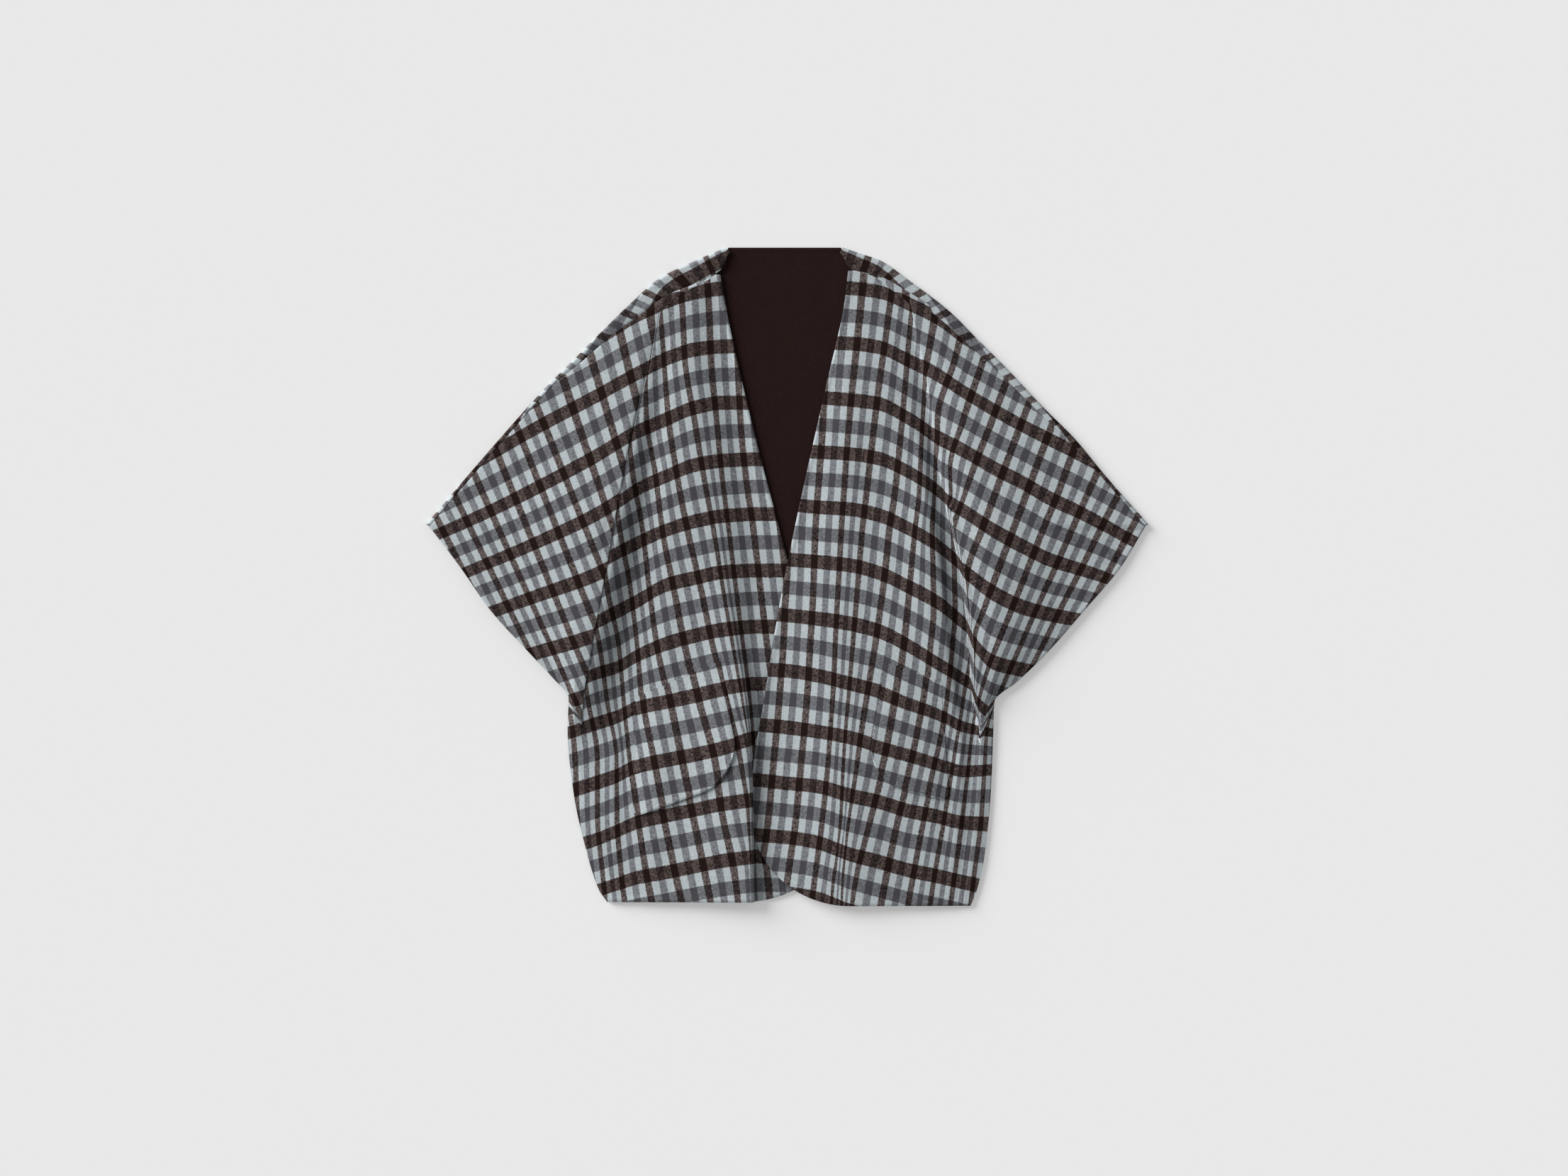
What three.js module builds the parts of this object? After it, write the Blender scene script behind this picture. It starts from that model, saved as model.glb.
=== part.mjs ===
// A wool cape with wide sleeves cut in one and an open front, laid flat and seen from above: +Y is towards
// the neck.
import * as THREE from "three";

// Driving dimensions, in millimetres
const CLOTH = 2; // wall of every piece
const SEAM_GAP = 0.4; // between the edges that a seam joins
const FOLD_RADIUS = 3; // of the cloth's middle, where the back turns over the shoulder
const CUFF_TIP_Y = 72; // where shoulder and cuff meet
const FRONT_TIP_Y = 70; // the tip of a front, just inside the fold
const UNDERARM_Y = -161; // where cuff and side meet
const STRAIGHT_TO_Y = -204; // rows are level down to here and then fan out to the hem
const ROUND_TOP_Y = -318; // where the rounded front corners leave the front edges
const BACK_INSET = 1; // of the back's cuffs and sides behind the fronts
const BACK_TOP_Y = 441.5;
const MIDDLE_Y = 1.34; // of the outline, in the heights used here
const BACK_HEM = { side: -425, middle: -408, halfWidth: 250 };
const POCKET_LIFT = CLOTH + 0.8; // from the middle of a front to the middle of its pocket

// Where the back folds over each shoulder, from neck to cuff, and how far it then wraps to the seam
const SHOULDER_RIGHT = [
  { x: -84, y: 441, wrap: 8 },
  { x: -99, y: 436, wrap: 25 },
  { x: -124, y: 425, wrap: 29 },
  { x: -171, y: 402, wrap: 25 },
  { x: -210, y: 368, wrap: 20 },
  { x: -247, y: 332, wrap: 13 },
  { x: -279, y: 300, wrap: 10 },
  { x: -325, y: 254, wrap: 5 },
  { x: -406, y: 163, wrap: 4.6 },
  { x: -484, y: 72, wrap: 4.6 },
];
const SHOULDER_LEFT = [
  { x: 77, y: 442, wrap: 8 },
  { x: 95, y: 436, wrap: 24 },
  { x: 126, y: 425, wrap: 21 },
  { x: 159, y: 402, wrap: 18 },
  { x: 218, y: 357, wrap: 16 },
  { x: 252, y: 323, wrap: 14 },
  { x: 298, y: 277, wrap: 11 },
  { x: 341, y: 231, wrap: 9 },
  { x: 386, y: 186, wrap: 8 },
  { x: 424, y: 140, wrap: 5 },
  { x: 484, y: 72, wrap: 4.6 },
];

// Each front is drawn by its edges and folds, top to bottom: where each lies at a height y, and how high the
// cloth's middle stands above the table there
const RIGHT = {
  edge: [
    { y: 408, x: -90, z: 7 },
    { y: 357, x: -81, z: 5 },
    { y: 186, x: -42, z: 4.4 },
    { y: 72, x: -12, z: 4.2 },
    { y: -42, x: 17, z: 4 },
    { y: -161, x: 45, z: 4 },
    { y: -318, x: 73, z: 4 },
  ],
  stepFoot: [
    { y: 357, x: -100, z: 5.6 },
    { y: 186, x: -70, z: 5.4 },
    { y: 9, x: -45, z: 5 },
    { y: -85, x: -48, z: 4.6 },
    { y: -166, x: -46, z: 4.2 },
    { y: -248, x: -47, z: 4 },
    { y: -434, x: -46, z: 4 },
  ],
  crease: [
    { y: 357, x: -129, z: 6.5 },
    { y: 243, x: -102, z: 6.5 },
    { y: 104, x: -92, z: 7 },
    { y: 9, x: -82, z: 8.2 },
    { y: -85, x: -70, z: 8.6 },
    { y: -166, x: -62, z: 9 },
    { y: -313, x: -57, z: 9 },
    { y: -434, x: -57, z: 9 },
  ],
  fold: [
    { y: 357, x: -150, z: 7 },
    { y: 243, x: -159, z: 8.5 },
    { y: 167, x: -176, z: 9 },
    { y: 31, x: -187, z: 10 },
    { y: -42, x: -196, z: 11 },
    { y: -118, x: -209, z: 11 },
    { y: -204, x: -217, z: 10.6 },
    { y: -327, x: -226, z: 9.6 },
    { y: -434, x: -217, z: 9 },
  ],
  valley: [
    { y: 357, x: -166, z: 7 },
    { y: 243, x: -177, z: 6.5 },
    { y: 167, x: -194, z: 6 },
    { y: 31, x: -219, z: 5 },
    { y: -42, x: -231, z: 4.5 },
    { y: -99, x: -240, z: 4.2 },
    { y: -161, x: -253, z: 4 },
    { y: -204, x: -261, z: 4 },
    { y: -346, x: -249, z: 6 },
    { y: -434, x: -229, z: 6 },
  ],
  crest: [
    { y: 357, x: -181, z: 7.4 },
    { y: 262, x: -196, z: 11 },
    { y: 167, x: -211, z: 16 },
    { y: 53, x: -235, z: 21 },
    { y: -61, x: -255, z: 22 },
    { y: -118, x: -263, z: 19 },
    { y: -161, x: -275, z: 14 },
    { y: -204, x: -283, z: 7 },
    { y: -282, x: -275, z: 5.2 },
    { y: -346, x: -264, z: 4.8 },
    { y: -434, x: -237, z: 4.5 },
  ],
  outer: [
    { y: 70, x: -480, z: 7 },
    { y: 15, x: -438, z: 11 },
    { y: -42, x: -398, z: 14 },
    { y: -99, x: -346, z: 14 },
    { y: -133, x: -314, z: 12 },
    { y: -161, x: -292, z: 8 },
    { y: -204, x: -294, z: 4.4 },
    { y: -282, x: -287, z: 3.4 },
    { y: -373, x: -267, z: 3.4 },
    { y: -418, x: -252, z: 3.4 },
    { y: -434, x: -241, z: 3.5 },
  ],
};
const LEFT = {
  edge: [
    { y: 416, x: 82, z: 7 },
    { y: 366, x: 76, z: 5.4 },
    { y: 262, x: 53, z: 5.4 },
    { y: 110, x: 19, z: 6 },
    { y: 29, x: 2, z: 7.6 },
    { y: -33, x: -10, z: 8 },
    { y: -161, x: -31, z: 8 },
    { y: -247, x: -44, z: 8 },
    { y: -318, x: -48, z: 8 },
  ],
  crease: [
    { y: 366, x: 98, z: 6.6 },
    { y: 243, x: 80, z: 7.5 },
    { y: 110, x: 70, z: 8 },
    { y: -3, x: 69, z: 8.6 },
    { y: -105, x: 76, z: 9 },
    { y: -172, x: 79, z: 9 },
    { y: -346, x: 72, z: 9 },
    { y: -438, x: 71, z: 9 },
  ],
  rim: [
    { y: 366, x: 146, z: 7.6 },
    { y: 300, x: 163, z: 8.5 },
    { y: 167, x: 180, z: 10 },
    { y: 15, x: 199, z: 12 },
    { y: -99, x: 209, z: 12 },
    { y: -175, x: 227, z: 11 },
    { y: -270, x: 225, z: 10 },
    { y: -438, x: 218, z: 9.4 },
  ],
  valley: [
    { y: 366, x: 160, z: 7.4 },
    { y: 285, x: 174, z: 7.4 },
    { y: 167, x: 195, z: 6 },
    { y: 72, x: 210, z: 5 },
    { y: -52, x: 228, z: 4.4 },
    { y: -137, x: 240, z: 4.2 },
    { y: -204, x: 245, z: 4.3 },
    { y: -346, x: 239, z: 6 },
    { y: -438, x: 228, z: 6 },
  ],
  crest: [
    { y: 366, x: 174, z: 7.6 },
    { y: 285, x: 189, z: 10 },
    { y: 227, x: 200, z: 14 },
    { y: 149, x: 216, z: 18 },
    { y: 10, x: 239, z: 23 },
    { y: -71, x: 250, z: 23 },
    { y: -138, x: 256, z: 19 },
    { y: -190, x: 263, z: 10 },
    { y: -270, x: 259, z: 6 },
    { y: -346, x: 253, z: 5 },
    { y: -438, x: 237, z: 4.6 },
  ],
  outer: [
    { y: 70, x: 480, z: 7 },
    { y: 15, x: 447, z: 13 },
    { y: -42, x: 399, z: 17 },
    { y: -99, x: 349, z: 17 },
    { y: -137, x: 310, z: 14 },
    { y: -166, x: 277, z: 8 },
    { y: -204, x: 276, z: 4.6 },
    { y: -282, x: 273, z: 3.4 },
    { y: -373, x: 264, z: 3.4 },
    { y: -418, x: 254, z: 3.4 },
    { y: -440, x: 245, z: 3.5 },
  ],
};
// Which lines a front has from its centre edge outwards, and the columns between each and the next
const RIGHT_LINES = ["edge", "stepFoot", "crease", "fold", "valley", "crest", "outer"];
const RIGHT_COLUMNS = [7, 3, 5, 3, 4, 7];
const LEFT_LINES = ["edge", "crease", "rim", "valley", "crest", "outer"];
const LEFT_COLUMNS = [8, 6, 3, 4, 7];
// The rounded corner is a quarter of an ellipse from the front edge to the hem
const RIGHT_HEM = { y: -434, roundFromX: -57, edgeX: 73 };
const LEFT_HEM = { y: -439, roundFromX: 85, edgeX: -48 };

// Patch pockets: where the square inner bottom corner would be, the turn of the bottom edge, and how far the
// inner and the outer edge lean outwards as they rise, in degrees
const POCKETS = [
  { name: "pocket_right", corner: [-59, -274], out: -1, turn: 16, lean: [10, -1], width: 154, height: 160 },
  { name: "pocket_left", corner: [102, -270], out: 1, turn: 14, lean: [11, 0], width: 115, height: 160 },
];
const POCKET_ROUND = { inner: 72, outer: 10 };

const lerp = THREE.MathUtils.lerp;
const smooth = (t) => t * t * (3 - 2 * t);
// Heights from one y down to another in n steps, closer together at the top where the power is over 1
const rowsFrom = (top, bottom, n, power = 1) =>
  Array.from({ length: n + 1 }, (_, i) => lerp(top, bottom, (i / n) ** power));
const SHOULDER_SECTIONS = rowsFrom(BACK_TOP_Y, CUFF_TIP_Y, 18, 1.5);
const WRAP_TOP = CLOTH / 2 + 2 * FOLD_RADIUS; // the middle of the cloth where the wrap lies on top

// The value of one column of a table at a height y, by a cubic through its rows that never overshoots them.
function at(rows, key, y) {
  const n = rows.length;
  if (y >= rows[0].y) return rows[0][key];
  if (y <= rows[n - 1].y) return rows[n - 1][key];
  const rise = (i) => (rows[i + 1][key] - rows[i][key]) / (rows[i + 1].y - rows[i].y);
  const slope = (i) => {
    if (i === 0 || i === n - 1) return rise(Math.min(i, n - 2));
    const [a, b] = [rise(i - 1), rise(i)];
    return a * b > 0 ? (2 * a * b) / (a + b) : 0;
  };
  let i = 0;
  while (rows[i + 1].y > y) i += 1;
  const span = rows[i + 1].y - rows[i].y;
  const t = (y - rows[i].y) / span;
  const ease = smooth(t);
  return (
    lerp(rows[i][key], rows[i + 1][key], ease) +
    span * t * (1 - t) * ((1 - t) * slope(i) - t * slope(i + 1))
  );
}

// A closed wall of even thickness about a middle surface. Each patch is a grid of points, and points that
// patches share are joined; the open edges get a rim.
function wall(patches, thickness) {
  const points = [];
  const known = new Map();
  const faces = [];
  const indexOf = (p) => {
    const key = [p.x, p.y, p.z].map((v) => v.toFixed(4)).join(" ");
    if (!known.has(key)) {
      known.set(key, points.length);
      points.push(p);
    }
    return known.get(key);
  };
  for (const patch of patches) {
    const ids = patch.map((row) => row.map(indexOf));
    for (let i = 0; i + 1 < ids.length; i += 1) {
      for (let j = 0; j + 1 < ids[i].length; j += 1) {
        const [a, b, c, d] = [ids[i][j], ids[i + 1][j], ids[i + 1][j + 1], ids[i][j + 1]];
        faces.push([a, b, c], [a, c, d]);
      }
    }
  }
  const normals = points.map(() => new THREE.Vector3());
  const edges = new Set();
  for (const [a, b, c] of faces) {
    const ab = points[b].clone().sub(points[a]);
    const ac = points[c].clone().sub(points[a]);
    const normal = ab.cross(ac);
    for (const i of [a, b, c]) normals[i].add(normal);
    for (const [from, to] of [[a, b], [b, c], [c, a]]) edges.add(from + " " + to);
  }
  const n = points.length;
  const position = new Float32Array(n * 6);
  points.forEach((p, i) => {
    normals[i].setLength(thickness / 2);
    p.clone().add(normals[i]).toArray(position, i * 3);
    p.clone().sub(normals[i]).toArray(position, (n + i) * 3);
  });
  const index = [];
  for (const [a, b, c] of faces) index.push(a, b, c, n + a, n + c, n + b);
  for (const edge of edges) {
    const [a, b] = edge.split(" ").map(Number);
    if (!edges.has(b + " " + a)) index.push(n + a, n + b, b, n + a, b, a);
  }
  const geometry = new THREE.BufferGeometry();
  geometry.setAttribute("position", new THREE.BufferAttribute(position, 3));
  geometry.setIndex(index);
  geometry.computeVertexNormals();
  return geometry;
}

// One shoulder's outline with its inward direction and wrap, at a height y.
function shoulderAt(rows, y) {
  const step = 1;
  const x = at(rows, "x", y);
  const away = Math.sign(rows[0].x);
  const along = new THREE.Vector2(at(rows, "x", y - step) - at(rows, "x", y + step), -2 * step).normalize();
  const inward = new THREE.Vector2(along.y * away, -along.x * away);
  return { x, y, inward, wrap: at(rows, "wrap", y) };
}

// The front's side of the shoulder seam, one point for each section of the wrap, from neckline to cuff.
// The first stands a little way along, where the front is wide enough to have two corners.
function seamOf(rows) {
  const points = SHOULDER_SECTIONS.slice(1).map((y) => {
    const s = shoulderAt(rows, y);
    return { x: s.x + s.inward.x * (s.wrap + SEAM_GAP), y: y + s.inward.y * (s.wrap + SEAM_GAP) };
  });
  const [first, second] = points;
  points[0] = { x: lerp(first.x, second.x, 0.35), y: lerp(first.y, second.y, 0.35) };
  return points;
}

// A front's outer boundary: the shoulder seam down to the cuff's tip, then cuff and side.
function outerAt(front, y) {
  const { seam } = front;
  const last = seam[seam.length - 1];
  if (y < last.y) return { x: at(front.lines.outer, "x", y), z: at(front.lines.outer, "z", y) };
  const i = Math.max(1, seam.findIndex((point) => point.y <= y));
  const share = (seam[i - 1].y - y) / (seam[i - 1].y - seam[i].y);
  return { x: lerp(seam[i - 1].x, seam[i].x, share), z: WRAP_TOP };
}

// The height of the hem at x: level, and then a quarter of an ellipse up to the front edge.
function hemAt(hem, x) {
  const across = (x - hem.roundFromX) / (hem.edgeX - hem.roundFromX);
  if (across <= 0) return hem.y;
  return ROUND_TOP_Y + (hem.y - ROUND_TOP_Y) * Math.sqrt(Math.max(0, 1 - across * across));
}

// A front's lines at one row: where each line crosses it, and how high it stands. Above its first row a fold
// has died out: its line keeps its share of the width there, and rises to the height of the shoulder seam.
function crossings(front, y) {
  const lineAt = (name, level) => {
    if (name === "outer") return outerAt(front, level);
    return { x: at(front.lines[name], "x", level), z: at(front.lines[name], "z", level) };
  };
  return front.names.map((name) => {
    const top = front.lines[name][0].y;
    if (name === "edge" || name === "outer" || y <= top) return lineAt(name, y);
    const [edge, line, outer] = ["edge", name, "outer"].map((key) => lineAt(key, top));
    const share = (line.x - edge.x) / (outer.x - edge.x);
    const faded = (y - top) / (front.lines.edge[0].y - top);
    return {
      x: lerp(lineAt("edge", y).x, outerAt(front, y).x, share),
      z: lerp(line.z, WRAP_TOP, Math.min(1, faded)),
    };
  });
}

// The middle surface of a front as a grid: rows from the neck to the hem, columns from the edge outwards.
// Between two lines the height eases from one to the other, so each line is a soft ridge or trough.
function frontGrid(front) {
  const level = [
    ...front.seam.map((point) => point.y),
    ...rowsFrom(FRONT_TIP_Y, UNDERARM_Y, 8).slice(1),
    ...rowsFrom(UNDERARM_Y, STRAIGHT_TO_Y, 2).slice(1),
  ];
  const fanned = Array.from({ length: 8 }, (_, i) => (i + 1) / 8);
  const place = (y, yOf) => {
    const cross = crossings(front, y);
    const row = [];
    front.columns.forEach((count, k) => {
      for (let j = 0; j < count + (k === front.columns.length - 1 ? 1 : 0); j += 1) {
        const even = j / count;
        const share = k === 0 ? 1 - Math.cos((even * Math.PI) / 2) : even;
        const x = lerp(cross[k].x, cross[k + 1].x, share);
        const z = lerp(cross[k].z, cross[k + 1].z, smooth(share));
        row.push(new THREE.Vector3(x, yOf(x), z));
      }
    });
    return row;
  };
  const rows = level.map((y) => place(y, () => y));
  for (const t of fanned) {
    const y = lerp(STRAIGHT_TO_Y, front.hem.y, t);
    const atEdge = lerp(STRAIGHT_TO_Y, ROUND_TOP_Y, t);
    const row = place(y, (x) => lerp(STRAIGHT_TO_Y, hemAt(front.hem, x), t));
    row[0].set(at(front.lines.edge, "x", atEdge), atEdge, row[0].z);
    rows.push(row);
  }
  return front.out < 0 ? rows.map((row) => row.reverse()) : rows;
}

// The height of a front's middle surface at a place on it.
function frontHeight(front, x, y) {
  const t = (y - STRAIGHT_TO_Y) / (hemAt(front.hem, x) - STRAIGHT_TO_Y);
  const cross = crossings(front, t > 0 ? lerp(STRAIGHT_TO_Y, front.hem.y, t) : y);
  let k = 0;
  while (k < cross.length - 2 && (x - cross[k + 1].x) * front.out > 0) k += 1;
  const share = THREE.MathUtils.clamp((x - cross[k].x) / (cross[k + 1].x - cross[k].x), 0, 1);
  return lerp(cross[k].z, cross[k + 1].z, smooth(share));
}

// Where the back's flat part ends at a shoulder and its turn begins, a given distance further in.
function turnStart(rows, y, further = 0) {
  const s = shoulderAt(rows, y);
  const turnIn = FOLD_RADIUS + CLOTH / 2 + further;
  return new THREE.Vector3(s.x + s.inward.x * turnIn, y + s.inward.y * turnIn, CLOTH / 2);
}

// The back's flat panel.
function panelGrid() {
  const lowerRows = rowsFrom(CUFF_TIP_Y, BACK_HEM.side, 18).slice(1);
  const middle = CLOTH / 2;
  const span = (left, right, yOf) =>
    Array.from({ length: 13 }, (_, j) => {
      const x = lerp(left.x, right.x, j / 12);
      return new THREE.Vector3(x, yOf(x, lerp(left.y, right.y, j / 12)), middle);
    });
  const floor = SHOULDER_SECTIONS.map((y) =>
    span(turnStart(SHOULDER_RIGHT, y, SEAM_GAP), turnStart(SHOULDER_LEFT, y, SEAM_GAP), (x, level) => level),
  );
  for (const point of floor[0].slice(1, -1)) point.y = BACK_TOP_Y;
  for (const y of lowerRows) {
    const t = (CUFF_TIP_Y - y) / (CUFF_TIP_Y - BACK_HEM.side);
    const left = { x: at(RIGHT.outer, "x", y) + BACK_INSET, y };
    const right = { x: at(LEFT.outer, "x", y) - BACK_INSET, y };
    const arch = (x) => (BACK_HEM.middle - BACK_HEM.side) * (1 - (x / BACK_HEM.halfWidth) ** 2);
    floor.push(span(left, right, (x, level) => level + Math.max(0, arch(x)) * t ** 3));
  }
  return floor;
}

// The back's turn over one shoulder: half a circle up from the panel's edge, and level on to the seam.
function turnGrid(rows, out) {
  return SHOULDER_SECTIONS.map((y) => {
    const s = shoulderAt(rows, y);
    const from = turnStart(rows, y);
    const row = [from];
    for (let k = 1; k <= 5; k += 1) {
      const turn = (k / 5) * Math.PI;
      const away = FOLD_RADIUS * Math.sin(turn);
      const rise = FOLD_RADIUS * (1 - Math.cos(turn));
      row.push(new THREE.Vector3(from.x - s.inward.x * away, from.y - s.inward.y * away, from.z + rise));
    }
    for (let k = 1; k <= 2; k += 1) {
      const far = lerp(FOLD_RADIUS + CLOTH / 2, s.wrap, k / 2);
      row.push(new THREE.Vector3(s.x + s.inward.x * far, y + s.inward.y * far, WRAP_TOP));
    }
    return out < 0 ? row.reverse() : row;
  });
}

// A patch pocket on a front: a grid on the front's own surface, moved out from it.
function pocketGrid(pocket, front) {
  const turn = THREE.MathUtils.degToRad(pocket.turn);
  const outward = new THREE.Vector2(pocket.out * Math.cos(turn), -Math.sin(turn));
  const upwardAt = (share) => {
    const lean = THREE.MathUtils.degToRad(lerp(...pocket.lean, share));
    return new THREE.Vector2(pocket.out * Math.sin(lean), Math.cos(lean));
  };
  const steps = 10;
  const lift = (x, y) => {
    const d = 2;
    const dx = (frontHeight(front, x + d, y) - frontHeight(front, x - d, y)) / (2 * d);
    const dy = (frontHeight(front, x, y + d) - frontHeight(front, x, y - d)) / (2 * d);
    const normal = new THREE.Vector3(-dx, -dy, 1).setLength(POCKET_LIFT);
    return new THREE.Vector3(x, y, frontHeight(front, x, y)).add(normal);
  };
  const foot = (a) => {
    const inner = Math.max(0, POCKET_ROUND.inner - a);
    const outer = Math.max(0, a - (pocket.width - POCKET_ROUND.outer));
    const round = inner > 0 ? POCKET_ROUND.inner : POCKET_ROUND.outer;
    return round - Math.sqrt(Math.max(0, round * round - (inner + outer) ** 2));
  };
  const rows = [];
  for (let i = 0; i <= steps; i += 1) {
    const row = [];
    for (let j = 0; j <= steps; j += 1) {
      const a = pocket.width * (j / steps) ** 1.5;
      const b = lerp(pocket.height, foot(a), i / steps);
      const upward = upwardAt(a / pocket.width);
      const p = new THREE.Vector2(...pocket.corner).addScaledVector(outward, a).addScaledVector(upward, b);
      row.push(lift(p.x, p.y));
    }
    rows.push(pocket.out < 0 ? row.reverse() : row);
  }
  return rows;
}

const checkWool = () => new THREE.MeshStandardMaterial({ color: 0x77797c, roughness: 0.95, metalness: 0 });
const brownWool = () => new THREE.MeshStandardMaterial({ color: 0x2a1d1b, roughness: 0.95, metalness: 0 });

const frontRight = {
  out: -1,
  lines: RIGHT,
  names: RIGHT_LINES,
  columns: RIGHT_COLUMNS,
  hem: RIGHT_HEM,
  seam: seamOf(SHOULDER_RIGHT),
};
const frontLeft = {
  out: 1,
  lines: LEFT,
  names: LEFT_LINES,
  columns: LEFT_COLUMNS,
  hem: LEFT_HEM,
  seam: seamOf(SHOULDER_LEFT),
};

// The origin is the middle of the outline, on the surface that the cape lies on
const cape = new THREE.Group();
cape.position.y = -MIDDLE_Y;
function add(name, patches, material) {
  const mesh = new THREE.Mesh(wall(patches, CLOTH), material);
  mesh.name = name;
  cape.add(mesh);
}
add("back", [panelGrid()], brownWool());
add("shoulder_right", [turnGrid(SHOULDER_RIGHT, -1)], checkWool());
add("shoulder_left", [turnGrid(SHOULDER_LEFT, 1)], checkWool());
add("front_right", [frontGrid(frontRight)], checkWool());
add("front_left", [frontGrid(frontLeft)], checkWool());
for (const pocket of POCKETS) {
  add(pocket.name, [pocketGrid(pocket, pocket.out < 0 ? frontRight : frontLeft)], checkWool());
}

export default cape;
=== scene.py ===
import math

import bpy
import numpy as np
from bpy.props import FloatProperty, FloatVectorProperty, PointerProperty
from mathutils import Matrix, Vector


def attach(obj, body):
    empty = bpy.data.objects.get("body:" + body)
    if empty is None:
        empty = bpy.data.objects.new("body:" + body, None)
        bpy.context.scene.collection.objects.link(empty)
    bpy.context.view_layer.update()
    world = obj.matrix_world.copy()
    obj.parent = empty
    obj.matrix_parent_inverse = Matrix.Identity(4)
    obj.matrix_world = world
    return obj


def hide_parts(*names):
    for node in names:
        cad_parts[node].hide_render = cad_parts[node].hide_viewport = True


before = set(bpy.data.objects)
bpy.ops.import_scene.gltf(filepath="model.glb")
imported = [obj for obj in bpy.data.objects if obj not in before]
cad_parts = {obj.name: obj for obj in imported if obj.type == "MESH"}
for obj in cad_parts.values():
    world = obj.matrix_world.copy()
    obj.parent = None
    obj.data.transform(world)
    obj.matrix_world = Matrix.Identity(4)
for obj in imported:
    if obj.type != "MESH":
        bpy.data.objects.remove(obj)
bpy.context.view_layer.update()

bl_info = {
    "name": "Check wool cape",
    "version": (1, 0, 0),
    "blender": (4, 5, 0),
    "location": "3D View > Sidebar > Cape",
    "description": "Dresses the packed cape, laid flat, in double-faced check wool",
    "category": "Object",
}

MM = 0.001

# Sizes in millimetres, as the solids have them
SEAM_GAP = 0.4
FOLD_RADIUS = 3
CUFF_TIP_Y = 72
FRONT_TIP_Y = 70
UNDERARM_Y = -161
STRAIGHT_TO_Y = -204
ROUND_TOP_Y = -318
BACK_INSET = 1
WRAP_SLANT = 0.4
BACK_TOP_Y = 443
MIDDLE_Y = 1.34
FRONT_LOWEST = 3.3
SEAM_DIP = 0.9
SHARP_FROM = math.radians(60)
BACK_HEM = {"side": -425, "middle": -408, "half_width": 250}

# Rows and columns of the back's mesh
BACK_GRID = {"shoulder": 110, "side": 122, "across": 150, "turn": 15, "wrap": 14, "turned_rows": 40}
POCKET_GRID = 70

# Where the light goes, how wide its disc is in degrees, and where the camera stands, in metres
SUN_TOWARD = (1.0, -0.7, -0.469)
SUN_DISC = 38
CAMERA_AT = (-0.0043, -0.0146, 5.84)

SHOULDER = {
    "right": (
        (443, -82, 8, -2.2, 0.2), (436, -99, 25, -2.62, 0.23), (425, -124, 29, -3.24, 0.25),
        (402, -171, 25, -4.47, 0.41), (368, -210, 20, -5.74, 0.52), (332, -247, 13, -6.93, 0.68),
        (300, -279, 10, -8, 0.8), (254, -325, 5, -9.6, 0.95), (163, -406, 4.6, -12.5, 1.1),
        (72, -484, 4.6, -15.4, 1.3),
    ),
    "left": (
        (443, 75, 8, 2.2, 0.19), (436, 95, 24, 2.65, 0.21), (425, 126, 21, 3.44, 0.24),
        (402, 159, 18, 4.32, 0.3),
        (357, 218, 16, 6, 0.53), (323, 252, 14, 7.1, 0.65), (277, 298, 11, 8.8, 0.8),
        (231, 341, 9, 10.3, 0.9),
        (186, 386, 8, 11.8, 1), (140, 424, 5, 13.2, 1.1), (72, 484, 4.6, 15.4, 1.3),
    ),
}

# Each front by its edges and folds from the centre outwards: rows of height, place across and how high the
# middle of the cloth stands
RIGHT_LINES = {
    "edge": (
        (408, -90, 7), (357, -81, 6), (186, -42, 5.4), (72, -12, 4.8), (-42, 17, 4.2), (-161, 45, 4),
        (-318, 73, 4),
    ),
    "step_foot": (
        (357, -96, 5), (186, -60, 4.2), (9, -40, 4), (-85, -42, 3.8), (-166, -42, 3.8), (-248, -43, 3.6),
        (-434, -43, 3.6),
    ),
    "crease": (
        (357, -132, 7.6), (243, -127, 10.6), (104, -113, 12.8), (9, -97, 13.6), (-85, -76, 15.6),
        (-166, -61, 19.4),
        (-313, -53, 20), (-434, -50, 17),
    ),
    "swell": (
        (357, -145, 7.6), (243, -150, 9.6), (167, -154, 10.6), (31, -156, 11.2), (-42, -158, 11.4),
        (-118, -162, 11.2), (-204, -166, 11), (-327, -172, 10.2), (-434, -170, 9.4),
    ),
    "foot": (
        (357, -158, 7.4), (243, -170, 7.2), (167, -182, 6.2), (31, -199, 5.2), (-42, -208, 5),
        (-118, -219, 5),
        (-156, -223, 5.4), (-213, -220, 6.6), (-318, -228, 6.4), (-434, -220, 6),
    ),
    "under": (
        (357, -166, 7.6), (243, -189, 10.6), (167, -207, 16), (31, -235, 24.4), (-42, -249, 25.2),
        (-99, -260, 23.4),
        (-161, -268, 17), (-190, -269, 12), (-208, -266, 7.6), (-230, -261, 6.6), (-346, -249, 6.4),
        (-434, -229, 6),
    ),
    "crest": (
        (357, -182, 8), (262, -203, 13), (167, -224, 18.6), (53, -249, 25.6), (-61, -271, 26.8),
        (-118, -280, 24.4),
        (-161, -285, 19), (-185, -285, 14.4), (-204, -283, 8.6), (-224, -281, 6), (-282, -273, 5.6),
        (-346, -262, 5),
        (-434, -237, 4.6),
    ),
    "outer": (
        (70, -480, 6), (15, -438, 10.5), (-42, -398, 13), (-99, -346, 13.6), (-133, -314, 12),
        (-161, -292, 8.4),
        (-204, -294, 4.4), (-282, -287, 3.4), (-373, -267, 3.4), (-418, -252, 3.4), (-434, -241, 3.5),
    ),
}
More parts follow.
